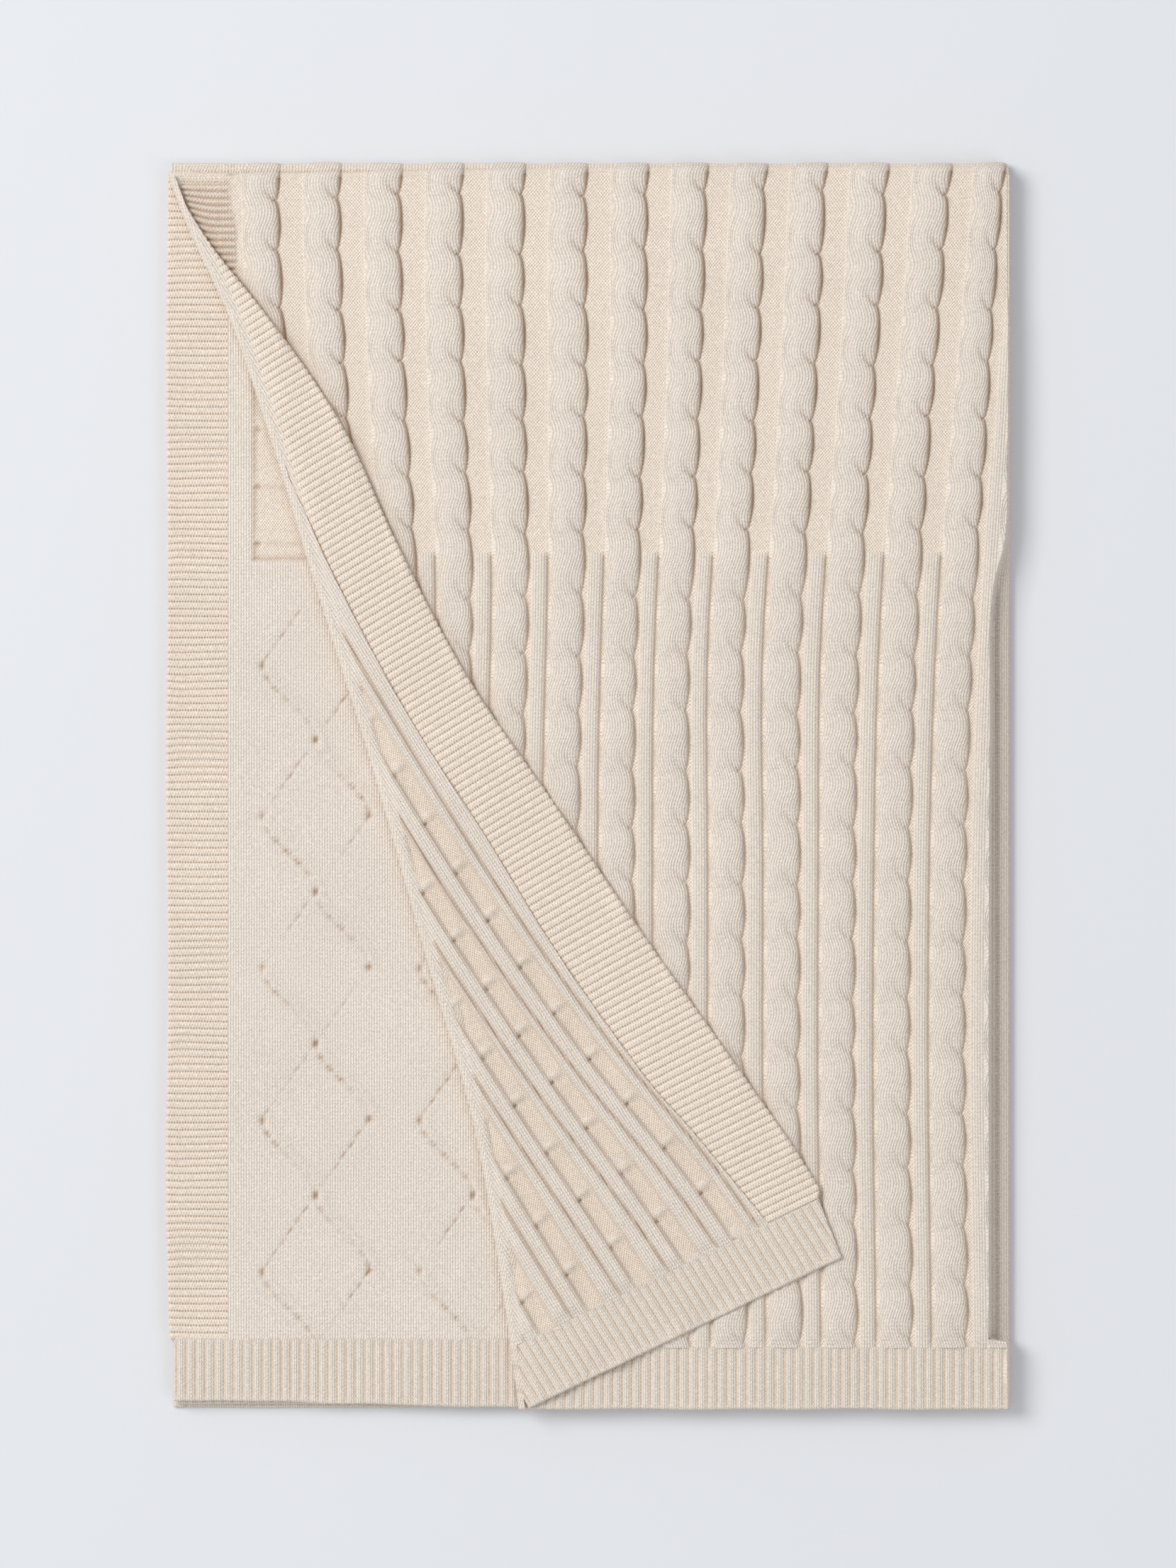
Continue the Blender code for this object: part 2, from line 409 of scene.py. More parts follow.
def yarn(name, plain):
    """Cream knit: V-shaped or purl stitches from the stitch map, flecks, fuzz, a soft sheen and painted
    shade.

    The stitch map's u counts columns of stitches and v counts rows. A plain stitch has two
    legs, each a sine hump across, and their height waves along a slant. Purl is staggered
    bumps, the product of two cosines. plain is the colour of the plain side in full light.
    """
    # ground is the purl colour, painted darker and warmer than plain as painted shade for its low, bumpy
    # face; shade is the warm colour of painted shade
    ground = (0.885, 0.770, 0.648)
    shade = (0.43, 0.265, 0.150)
    tau = 2 * math.pi
    material = bpy.data.materials.new(name)
    material.use_nodes = True
    tree = material.node_tree
    shader = tree.nodes["Principled BSDF"]

    def value(operation, *inputs, clamp=False):
        """One step of arithmetic on numbers or sockets."""
        node = tree.nodes.new("ShaderNodeMath")
        node.operation = operation
        node.use_clamp = clamp
        for socket, source in zip(node.inputs, inputs):
            if isinstance(source, (int, float)):
                socket.default_value = source
            else:
                tree.links.new(source, socket)
        return node.outputs[0]

    def attribute(label):
        """A number stored on the cloth's points."""
        node = tree.nodes.new("ShaderNodeAttribute")
        node.attribute_name = label
        return node.outputs["Fac"]

    def noise(scale, detail):
        """Noise with so many lumps to the metre."""
        node = tree.nodes.new("ShaderNodeTexNoise")
        node.inputs["Scale"].default_value = scale
        node.inputs["Detail"].default_value = detail
        tree.links.new(coordinates.outputs["Object"], node.inputs["Vector"])
        return node.outputs["Fac"]

    def mix(factor, first, second):
        """Two colours mixed by a factor."""
        node = tree.nodes.new("ShaderNodeMix")
        node.data_type = "RGBA"
        for socket, source in ((node.inputs[0], factor), (node.inputs[6], first), (node.inputs[7], second)):
            if isinstance(source, tuple):
                socket.default_value = (*source, 1)
            elif isinstance(source, float):
                socket.default_value = source
            else:
                tree.links.new(source, socket)
        return node.outputs[2]

    coordinates = tree.nodes.new("ShaderNodeTexCoord")
    split = tree.nodes.new("ShaderNodeSeparateXYZ")
    tree.links.new(coordinates.outputs["UV"], split.inputs[0])
    across, along = split.outputs[0], split.outputs[1]
    wobble = value("MULTIPLY", value("SUBTRACT", noise(260, 1), 0.5), 0.5)
    along = value("ADD", along, wobble)

    leg = value("MULTIPLY", value("ABSOLUTE", value("SUBTRACT", value("FRACT", across), 0.5)), 2.0)
    ridge = value("SINE", value("MULTIPLY", leg, math.pi))
    slant = value("SUBTRACT", along, value("MULTIPLY", leg, 0.55))
    row = value("COSINE", value("MULTIPLY", slant, tau))
    knit = value("MULTIPLY", ridge, value("ADD", value("MULTIPLY", row, 0.28), 0.72))

    heads = value("COSINE", value("MULTIPLY", across, 2 * tau))
    rounds = value("COSINE", value("MULTIPLY", along, tau))
    bumps = value("MULTIPLY", value("MULTIPLY", heads, rounds), 0.5)
    purl = value("POWER", value("ADD", bumps, 0.501), 0.6)

    share = value("MULTIPLY", attribute("purl"), 1.0, clamp=True)
    rest = value("SUBTRACT", 1.0, share)
    stitch = value("ADD", value("MULTIPLY", knit, rest), value("MULTIPLY", purl, share))
    # Painted shade on the stitches: their tops lighter and the dips between them darker, more so on purl
    groove = value("ADD", value("MULTIPLY", rest, 0.16), value("MULTIPLY", share, 0.30))

    fibres = noise(1500, 4)
    flecks = noise(620, 3)
    specks = value("MULTIPLY", value("SUBTRACT", noise(1000, 1), 0.62), 4.0, clamp=True)
    depth = value("ADD", value("MULTIPLY", stitch, 1.15), value("MULTIPLY", fibres, 0.9))

    tone = value("ADD", value("MULTIPLY", noise(16, 3), 0.10), value("MULTIPLY", flecks, 0.62))
    tone = value("ADD", tone, value("MULTIPLY", stitch, groove))
    tone = value("ADD", tone, value("MULTIPLY", specks, 0.20))
    # Purl is painted a little darker still, as painted shade for its bumpy face
    tone = value("ADD", tone, value("ADD", value("MULTIPLY", share, -0.05), 0.59))
    scaled = tree.nodes.new("ShaderNodeVectorMath")
    scaled.operation = "SCALE"
    tree.links.new(mix(share, plain, ground), scaled.inputs[0])
    tree.links.new(tone, scaled.inputs["Scale"])
    # Painted shade: the colour is mixed towards the shade colour between the stitches and by the painted
    # shade stored on the cloth
    between = value("MULTIPLY", value("SUBTRACT", 1.0, stitch), 0.20)
    deep = value("ADD", value("MULTIPLY", attribute("painted_shade"), 0.80), between, clamp=True)
    tree.links.new(mix(deep, scaled.outputs[0], shade), shader.inputs["Base Color"])

    bump = tree.nodes.new("ShaderNodeBump")
    bump.inputs["Strength"].default_value = 0.85
    bump.inputs["Distance"].default_value = 0.0008
    tree.links.new(depth, bump.inputs["Height"])
    tree.links.new(bump.outputs[0], shader.inputs["Normal"])
    shader.inputs["Roughness"].default_value = 0.95
    shader.inputs["Specular IOR Level"].default_value = 0.15
    shader.inputs["Sheen Weight"].default_value = 0.25
    shader.inputs["Sheen Roughness"].default_value = 0.6
    shader.inputs["Sheen Tint"].default_value = (1.0, 0.95, 0.88, 1.0)
    return material


cream = yarn("cream_yarn", plain=(0.900, 0.808, 0.708))

# Places across one column, in millimetres from its cable's middle and closer at steep sides,
# as shares of the column
ACROSS = np.array([
    -21.2, -19.6, -18.2, -17.1, -16.3, -15.6, -14.9, -14.2, -13.6, -13.0, -12.4, -11.6, -10.4,
    -8.6, -6.6, -4.6, -2.6, -0.8, 1.0, 2.8, 4.4, 5.8, 7.0, 8.0, 8.9, 9.7, 10.4, 11.1, 11.8,
    12.5, 13.1, 13.7, 14.3, 15.0, 15.8, 16.6, 17.8, 19.4,
]) / (1000 * COLUMN)
COLUMNS = np.arange(-1, 15)


def outer_grid(y, left, right):
    """(x for each row y and grid line of the cabled field, whether it is inside) from left to right.

    The grid lines follow the cables, and those outside are laid on the border.
    """
    steps = np.sort((COLUMNS[:, None] - ACROSS).ravel())[::-1]
    x = column_centre(y) - steps * column_pitch(y)
    x = x + drift(x, y)
    return np.clip(x, left, right), (x > left) & (x < right)


def kept_squares(inside):
    """The grid squares with at least one corner inside the cloth."""
    return inside[:-1, :-1] | inside[:-1, 1:] | inside[1:, 1:] | inside[1:, :-1]


def stitch_map(x, y):
    """Columns and rows of stitches of the cabled field, ten columns for each cable and rib.

    On a cable they lean to one side and the other by a sine of the crossings passed.
    """
    across, count = column_place(x, y)[:2]
    lean = -0.6 * np.sin(2 * math.pi * count) * ease(-np.abs(across), -0.0150, -0.0110)
    columns = 10 * (x - drift(x, y) - column_centre(y)) / column_pitch(y) + lean
    return columns, outer_band(x, y)[1] / COURSE


def top_shift(x):
    """How far out the upper crest lies: a smooth line, further at its right than at its left."""
    return through(
        x,
        [-0.330, -0.230, -0.130, 0.000, 0.330],
        [-0.0018, -0.0014, 0.0004, 0.0028, 0.0038],
    )


for part, low, high, step in (
    ("upper_outer_field_top", RIB_START, TOP_SEAM, RIDGE / 3),
    ("upper_outer_field_middle", -0.1280, RIB_START, 0.0023),
    ("upper_outer_field_low", END_RIB_TOP, -0.1280, 0.0023),
):
    y = np.minimum(low + step * np.arange(math.ceil((high - low) / step) + 1), high)[:, None]
    x, inside = outer_grid(y, fold_line(y) + FOLD, side_line(y) - 0.0024)
    y = y + band_sweep(x, y)

    # The relief is lower at the ribbed end and dies away at the diagonal fold
    height, purl = outer_relief(x, y)
    height *= 0.55 + 0.45 * ease(y, END_RIB_TOP - 0.001, END_RIB_TOP + 0.010)
    height *= ease(x - fold_line(y), FOLD, 0.0095)
    z = PLY_LEVEL[3] + GROUND + height + FIELD_WAVE * ripple(x, y, 0.16, 3)
    place_y = y + top_shift(x) * ease(y, 0.400, TOP_SEAM)

    # Painted shade, mixed into the yarn's colour: right of each steep side, as the light comes from the
    # left, and less of it among the ribs; a painted shadow along the turned-back corner's edge; and over
    # the garter band, most between its ridges
    banded, along = outer_band(x, y)
    painted_shade = lee(height, 3, 0.0017) * (1 - ease(-0.262 - x, 0.0, 0.003))
    painted_shade *= 0.60 + 0.40 * ease(y, RIB_START - 0.030, RIB_START + 0.030)
    flat_x, flat_y = turned_back(x, y)
    clear = np.clip(corner_edge(flat_y) - flat_x, 0, None)
    beside = (0.15 + 0.35 * ease(flat_y, -0.20, 0.30)) * ease(flat_y, -0.460, -0.450)
    painted_shade += beside * np.exp(-clear / 0.0050)
    painted_shade += banded * (0.12 + 0.8 * np.clip(0.6 - garter(along - RIB_START), 0, 1))

    grid = (x, place_y, z)
    piece = cloth(part, grid, None, stitch_map(x, y), purl, painted_shade, cream, kept_squares(inside))
    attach(piece, "upper_leaf")
    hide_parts("upper_outer_panel")

# ---------------------------------------------------------------------------------------
# Ribbed end of the upper outer ply: one-by-one rib in the same yarn, knitted on to the
# field and cast off along a free edge.

# RIM is the first rows in from a free edge, close together where the edge is rounded, and
# DEPTH all the rows of a ribbed end. A sheet's middle lies MIDDLE above its ply's level, and
# its lower face UNDERSIDE below that. NO_EDGE is a way that is clear of any free edge.
RIM = np.array([0.0, 0.0004, 0.0011, 0.0020, 0.0032])
END_DEPTH = 0.0480
DEPTH = np.concatenate([RIM, np.linspace(0.0060, END_DEPTH, 18)])[:, None]
MIDDLE = 0.0018
UNDERSIDE = 0.0016
NO_EDGE = 0.01


def edge_round(distance, radius=0.0024):
    """Thickness near a free edge as a share of the full one: a quarter circle."""
    near = 1 - np.clip(distance / radius, 0, 1)
    return np.clip(np.sqrt(1 - near * near), 0.15, 1)


def ply(name, x, y, level, height, free, stitches, purl, painted_shade, material=cream):
    """A closed sheet at a ply's level: height is its relief and free the way to its free edge.

    Its two faces lie above and below a middle surface, and meet it at the free edge.
    """
    middle = level + MIDDLE
    round_off = edge_round(free)
    top = middle + (GROUND - MIDDLE + height) * round_off
    bottom = middle - UNDERSIDE * round_off
    return cloth(name, (x, y, top), (x, y, bottom), stitches, purl, painted_shade, material)


def ribbing(along):
    """One-by-one rib: a raised knit column in each period, (0.5 + 0.5 cos)^0.5, from 0 to 1."""
    return (0.5 + 0.5 * np.cos(2 * math.pi * along / RIB_PERIOD)) ** 0.5


def rib_fade(depth):
    """How full the ribbing is: it dies away over the last 3.5 mm and is shallow at the edge."""
    inner = ease(-depth, -END_DEPTH, -0.0445)
    return inner * (0.35 + 0.65 * ease(depth, 0.0010, 0.0045))


def rib_shade(ridge, fade):
    """Shade in the grooves of the ribbing."""
    return np.clip(0.7 - 1.3 * ridge, 0, 1) * 0.7 * fade


def end_rib(name, left, right, low, high, level, body, node, seed):
    """A ribbed end lying along x: low(x) is its cast-off edge and high(x) the line it starts at.

    The columns of the ribbing wander a little to the side, and the edge juts out a little at
    each of them.
    """
    x = np.linspace(left, right, round((right - left) / 0.0009) + 1)[None, :]
    ridge = ribbing(x + 0.0012 * ripple(x, 0 * x, 0.15, seed))
    bottom = low(x) - 0.0003 * ridge + 0.0006 * ripple(x, 0 * x, 0.06, seed + 1)
    y = bottom + (high(x) - bottom) * DEPTH / END_DEPTH
    x = x + 0 * y
    fade = rib_fade(DEPTH)
    height = 0.0013 - 0.0016 * (1 - ridge) * fade + 0.0003 * ripple(x, y, 0.08, seed + 2)
    free = np.minimum(np.minimum(DEPTH + 0 * x, x - left + 0.0004), right - x + 0.0004)
    stitches = (2 * x / RIB_PERIOD + 0.5, y / COURSE)
    purl = (1 - ridge) * 0.6 + 0 * y
    piece = ply(name, x, y, level, height, free, stitches, purl, rib_shade(ridge, fade))
    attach(piece, body)
    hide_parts(node)


end_rib(
    "upper_outer_rib", -0.0520, 0.3212,
    lambda x: BOTTOM + 0 * x, lambda x: END_RIB_TOP + 0.0008 + 0 * x,
    PLY_LEVEL[3], "upper_leaf", "upper_outer_end_rib", 4,
)

# ---------------------------------------------------------------------------------------
# The folds across the top: each pair of plies is one cloth bent over its crest. The upper
# crest carries the cables over, and the lower one shows as a thin strip beyond it. Each
# starts with two rows tucked just under the field, then goes half way round.
TURN = np.concatenate([[-1.0, -0.5], np.linspace(0, math.pi, 25)])[:, None]
CREST_MIDDLE = 0.0058
LOWER_SEAM = TOP_SEAM + 0.0050

for name, level, seam, body, node, rest, left, upper in (
    ("upper_crest", PLY_LEVEL[2], TOP_SEAM, "upper_leaf", "upper_top_fold", "lower_crest", -0.3205, True),
    ("lower_crest", PLY_LEVEL[0], LOWER_SEAM, "lower_leaf", "lower_top_fold", "floor", -0.3225, False),
):
    tucked = TURN < 0
    out_along = np.where(tucked, TURN, np.sin(TURN))
    side = np.where(tucked, 1.0, np.cos(TURN))
    x, inside = outer_grid(np.full((1, 1), seam), left, 0.3220)
    x = x[:, inside.ravel()]
    length = seam + FOLD * TURN + 0 * x
    height, purl = outer_relief(x + 0 * length, length)
    shell = edge_round(np.minimum(x - left + 0.0003, 0.3223 - x), 0.0030)
    middle = level + CREST_MIDDLE
    if upper:
        crown = GROUND - CREST_MIDDLE + PLY_LEVEL[1] + height
        wave = FIELD_WAVE * ripple(x, seam + 0 * x, 0.16, 3) * ease(side, 0.0, 1.0)
        reach = 0.0040 + 0.25 * height * np.clip(out_along, 0, 1)
        shift = top_shift(x)
        shade, rough = 0.6, 1.0
    else:
        crown = 0.0044 + 0.4 * height
        wave = 0.0
        reach = 0.0056 + 0.2 * height
        shift = 0.0003 * ripple(x, 0 * x, 0.11, 51)
        shade, rough = 0.3, 0.3
    z = middle + np.where(side > 0, crown, 0.0052) * side * shell + wave
    z = z - 0.0007 * ease(-TURN, 0.0, 0.5)
    y = seam + shift + np.where(tucked, FOLD * TURN, reach * out_along * shell)
    x = x + 0 * y
    inner = 0.0006 * shell
    inner_y = seam + shift + np.where(tucked, FOLD, inner) * out_along
    stitches = (stitch_map(x, length)[0], length / COURSE)
    # Painted shade right of each steep side, stronger on the upper crest than on the lower
    painted_shade = shade * lee(height, 3, 0.0020)
    under = (x, inner_y, middle + inner * side)
    piece = cloth(name, (x, y, z), under, stitches, rough * purl, painted_shade, cream)
    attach(piece, body)
    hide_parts(node)

# ---------------------------------------------------------------------------------------
# Upper inner ply, reverse side up, seen left of the diagonal: a garter band down its free
# side, a smooth strip, then plain stocking stitch with faint travelling lines in lozenges.
# All of it is the same cloth. Its field is drawn in a paler copy of the yarn, painted
# light that makes up for the shade this lower-lying ply is in. The field runs from
# FIELD_LEFT, beside the band, to SIDE_SEAM, where the side fold starts.
LOZENGE = 0.1162
SWAY = 0.0410
FIELD_LEFT = -0.2765
SIDE_SEAM = 0.3117
# A paler copy of the cream yarn: painted light for the fields of the lower-lying plies
paler_lit_cream = yarn("paler_lit_cream_yarn", plain=(0.950, 0.852, 0.750))


def puckers(x, y):
    """Depth of the small puckers where lines of crossed stitches travel over the cloth.

    Lines weave about upright axes in lozenges LOZENGE long and 2 SWAY wide. Going down, the
    ones that lean left are straight and the ones that lean right are S-shaped. Each line is
    a row of beads, cos^2 along it and a bell curve across, with a deeper spot where two meet.
    A raised line runs beside each S.
    """
    depth = 0 * x
    t = (0.0361 - y) / LOZENGE - np.floor((0.0361 - y) / LOZENGE)
    first = t < 0.5
    part = np.where(first, 2 * t, 2 * t - 1)
    curved = part * part * (3 - 2 * part)
    beads = 0.30 + 0.70 * np.cos(math.pi * y / 0.0083) ** 2
    beads = beads * np.clip(0.65 + 1.1 * ripple(x, y, 0.05, 40), 0.15, 1.3)
    near = np.minimum(t, 1 - t) * LOZENGE
    turn = np.abs(t - 0.5) * LOZENGE
    for axis in (-0.2093, -0.0888, 0.0317, 0.1522):
        straight = axis + SWAY * np.where(first, -part, 1 - part)
        bent = axis + SWAY * np.where(first, curved, curved - 1)
        depth = depth + beads * np.exp(-(((x - straight) / 0.0012) ** 2)) * 0.9
        depth = depth + beads * np.exp(-(((x - bent) / 0.0022) ** 2)) * 0.9
        depth = depth - 0.5 * np.exp(-(((x - bent - 0.0040) / 0.0022) ** 2))
        for place, along, deep in ((axis, near, 1.6), (axis - SWAY, turn, 0.9), (axis + SWAY, turn, 1.5)):
            depth = depth + deep * np.exp(-(((x - place) / 0.0028) ** 2) - ((along / 0.0028) ** 2))
    return depth * ease(-y, -0.150, -0.130)


def inner_relief(x, y):
    """(height, purl) of the inner ply's reverse side.

    Smooth cloth with the puckers in its lower part. Above the start of the ribs, right of a
    smooth strip and a jagged groove, it is a sunk purl patch, which rises towards each
    crossing and has a small hole at it.
    """
    sunk = ease(x, -0.2572, -0.2560) * ease(y, 0.1715, 0.1735)
    repeat = 0.0440
    count = (0.1865 - y) / repeat
    part = count - np.floor(count)
    rise = 0.0006 * part**2.2
    hole_row = (part - np.round(part)) * repeat
    hole = np.exp(-(((x + 0.2535) / 0.0022) ** 2) - ((hole_row / 0.0024) ** 2))
    height = 0.0011 - 0.0016 * sunk + sunk * (rise - 0.0012 * hole)
    height -= 0.0012 * puckers(x, y) * (1 - sunk)
    jagged = 0.25 + 0.75 * np.cos(math.pi * (y - RIB_START) / RIDGE) ** 2
    groove = np.exp(-(((x + 0.2571) / 0.0011) ** 2)) * ease(y, 0.1700, 0.1735) * jagged
    height -= 0.0010 * groove
    return height, 0.9 * sunk


def side_band(name, left, low, high, level, body, node, seed):
    """A garter band up the free left side: left(y) is its edge, which the ridges scallop.

    Its relief is the garter ridges on a gentle wave, lower beside the field.
    """
    y = low + RIDGE / 6 * np.arange(round(6 * (high - low) / RIDGE) + 1)[:, None]
    ridge = garter(y - low)
    out = np.concatenate([RIM, np.linspace(0.0055, BAND + 0.0015, 11)])[None, :]
    x = left(y) - 0.0005 * ridge + out
    y = y + 0.0011 * ripple(x, y + 0 * x, 0.10, seed) * ease(out, 0.0, 0.010)
    height = 0.0014 * ridge + 0.0004 * ripple(x, y, 0.12, seed + 1)
    height *= 0.55 + 0.45 * ease(BAND - out, 0.0, 0.0030)
    stitches = (x / WALE, (y - low) / RIDGE + 0.5)
    # Painted shade between the ridges, and a little darker towards the outer edge
    painted_shade = np.clip(0.6 - ridge, 0, 1) * 0.75 + 0.05 * np.exp(-out / 0.012)
    piece = ply(name, x, y, level, height, out + 0 * y, stitches, 0.85 + 0 * x, painted_shade)
    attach(piece, body)
    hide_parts(node)


def left_edge(y):
    """x of the pile's left edge: a smooth line, drawn in a little beside the ribbed end."""
    return through(
        y,
        [-0.477, -0.428, -0.330, -0.150, 0.000, 0.180, 0.330, 0.470],
        [-0.3172, -0.3205, -0.3235, -0.3222, -0.3235, -0.3226, -0.3235, -0.3222],
    )


def inner_panel(name, left, right, low, high, level, body, node, step, seed):
    """A field of plain cloth: its upper face is the reverse side and its lower face the right side."""
    x = np.linspace(left, right, round((right - left) / step[0]) + 1)[None, :]
    y = np.linspace(low, high, round((high - low) / step[1]) + 1)[:, None]
    x, y = x + 0 * y, y + 0 * x
    height, purl = inner_relief(x, y)
    height += FIELD_WAVE * ripple(x, y, 0.14, seed)
    # Painted shade wherever the cloth lies below its surroundings: puckers, groove and holes
    painted_shade = hollows(height, 2, 2, 0.0013)
    stitches = (x / 0.0040, y / 0.0028)
    piece = ply(name, x, y, level, height, NO_EDGE + 0 * x, stitches, purl, painted_shade, paler_lit_cream)
    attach(piece, body)
    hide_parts(node)


side_band(
    "upper_inner_garter", left_edge, END_RIB_TOP + 0.0060, TOP_SEAM + 0.0015,
    PLY_LEVEL[2], "upper_leaf", "upper_inner_side_band", 5,
)

for name, left, right, step in (
    ("upper_inner_field", FIELD_LEFT, -0.0300, (0.0020, 0.0024)),
    ("upper_inner_field_hidden", -0.0300, 0.3050, (0.0028, 0.0036)),
):
    inner_panel(
        name, left, right, END_RIB_TOP + 0.0060, TOP_SEAM,
        PLY_LEVEL[2], "upper_leaf", "upper_inner_panel", step, 7,
    )

end_rib(
    "upper_inner_rib", -0.3175, SIDE_SEAM,
    lambda x: -0.4705 - 0.0050 * ease(x, -0.30, -0.05), lambda x: END_RIB_TOP + 0.0070 + 0 * x,
    PLY_LEVEL[2], "upper_leaf", "upper_inner_end_rib", 9,
)

# ---------------------------------------------------------------------------------------
# The two lower plies, hidden but for their edges: the same cloth, and coarser grids where
# nothing shows. Their bands and ribbed ends are as fine as the rest, as their edges show.
for ply_name, level, inset, bottom, under_it, seed in (
    ("lower_inner", PLY_LEVEL[1], 0.0018, -0.4735, "lower_outer_field", 21),
    ("lower_outer", PLY_LEVEL[0], 0.0002, BOTTOM, "floor", 31),
):

    def own_edge(y, inset=inset, seed=seed):
        """The pile's left edge, set in a little, with a wave of its own."""
        return left_edge(y) + inset + 0.0007 * ripple(y, y, 0.2, seed)

    side_band(
        ply_name + "_garter", own_edge, END_RIB_TOP + 0.0040, LOWER_SEAM,
        level, "lower_leaf", ply_name + "_side_band", seed,
    )
    inner_panel(
        ply_name + "_field", FIELD_LEFT, SIDE_SEAM, END_RIB_TOP + 0.0040, LOWER_SEAM,
        level, "lower_leaf", ply_name + "_panel", (0.0034, 0.0040), seed + 2,
    )
    end_rib(
        ply_name + "_rib", -0.3185 + inset, SIDE_SEAM,
        lambda x, low=bottom: low + 0 * x, lambda x: END_RIB_TOP + 0.0050 + 0 * x,
        level, "lower_leaf", ply_name + "_end_rib", seed + 4,
    )

# ---------------------------------------------------------------------------------------
# The turned-back corner: the left part of the upper outer ply, mirrored in the diagonal
# and lying reverse side up. It is drawn flat first, where its rows run level, and then
# turned back. Seen from this side the cables are sunken purl strips between raised ribs,
# with a small hole at each crossing.

# Drawn flat, the corner's ribbed hem starts at HEM_TOP and its band runs up to CORNER_TOP.
# Its cloth sinks by DROOP at the fold. The seam is the fold's line where it meets the ply,
# turned back.
HEM_TOP = -0.4290
CORNER_TOP = 0.4648
DROOP = 0.0022
seam_y = np.linspace(-0.4800, 0.4720, 400)
seam_flat = turned_back(fold_line(seam_y) + FOLD, seam_y)
seam_order = np.argsort(seam_flat[1])


def corner_seam(y):
    """x where the flat-drawn corner meets its fold: the fold's line, turned back."""
    return np.interp(y, seam_flat[1][seam_order], seam_flat[0][seam_order])


def corner_drop(x, row):
    """y for each row and x: the rows sag towards the ribbed end, by a straight line in x."""
    return row + ease(-row, 0.0, 0.477) * (0.102 * (x + 0.2915) - 0.0205)


def seam_of(row):
    """x of the corner's seam for each row, found again four times to allow for the sag."""
    x = corner_seam(row)
    for _ in range(4):
        x = corner_seam(corner_drop(x, row))
    return x


def corner_border(y):
    """x of the inner border of the corner's garter band, drawn flat: a smooth line."""
    return through(
        y,
        [-0.470, -0.400, -0.356, -0.312, -0.268, -0.180, -0.080, 0.026, 0.154, 0.240, 0.356, 0.476],
        [-0.262, -0.252, -0.246, -0.238, -0.234, -0.229, -0.229, -0.227, -0.235, -0.245, -0.240, -0.233],
    )


def reverse_relief(x, y):
    """(height, purl, painted shade) of the cabled field's reverse side, drawn flat.

    Ribs 3.4 mm high with narrow grooves between them. In each column one strip is sunk. It
    rises towards each crossing, where a puff stands up beside a small hole. Every line and
    hole is a bell curve across. The painted shade is darkest in the holes and grooves, lies
    along the sides of each strip and lightly over the strips but not the puffs.
    """
    middle, repeat = -0.1135, 0.0438
    pitch = through(y, [-0.500, -0.400, -0.270, 0.480], [0.0420, 0.0400, 0.0338, 0.0338])
    nearest = np.clip(np.round((x - middle) / pitch), -3, 6)
    from_hole = x - (middle + nearest * pitch) - 0.0062
    count = (-0.1368 - y) / repeat
    part = count - np.floor(count)
    strip = ease(from_hole, -0.0142, -0.0128) * ease(-from_hole, -0.0008, 0.0006)

    beyond = from_hole + np.where(nearest == -3, 0.0215, pitch - 0.0130)
    groove = np.exp(-((beyond / 0.0013) ** 2)) * (from_hole < -0.0142)
    groove += np.exp(-(((from_hole - 0.0130) / 0.0013) ** 2))
    faint = np.exp(-(((from_hole - 0.0066) / 0.0009) ** 2))
    side = np.exp(-(((from_hole - 0.0004) / 0.0012) ** 2))
    side += 0.6 * np.exp(-(((from_hole + 0.0137) / 0.0012) ** 2))
    ribs = 0.0034 - 0.0030 * groove - 0.0007 * faint - 0.0016 * side

    rise = 0.0020 * ease(part, 0.25, 0.80) * (1 - ease(part, 0.90, 1.0)) - 0.0013
    rise *= 1 - (np.clip(np.abs(from_hole + 0.0068) / 0.0075, 0, 1)) ** 3
    puff = np.exp(-(((part - 0.90) / 0.07) ** 2) - (((from_hole + 0.0052) / 0.0048) ** 2))
    hole_row = (part - np.round(part)) * repeat
    hole = np.exp(-(((from_hole + 0.0004) / 0.0016) ** 2) - ((hole_row / 0.0011) ** 2))
    height = ribs * (1 - strip) + rise * strip + 0.0018 * puff - 0.0030 * hole
    purl = np.clip(strip * (1 - 0.6 * puff), 0, 1)
    return height, purl, hole + 0.65 * groove + 0.45 * side + 0.15 * strip * (1 - puff)


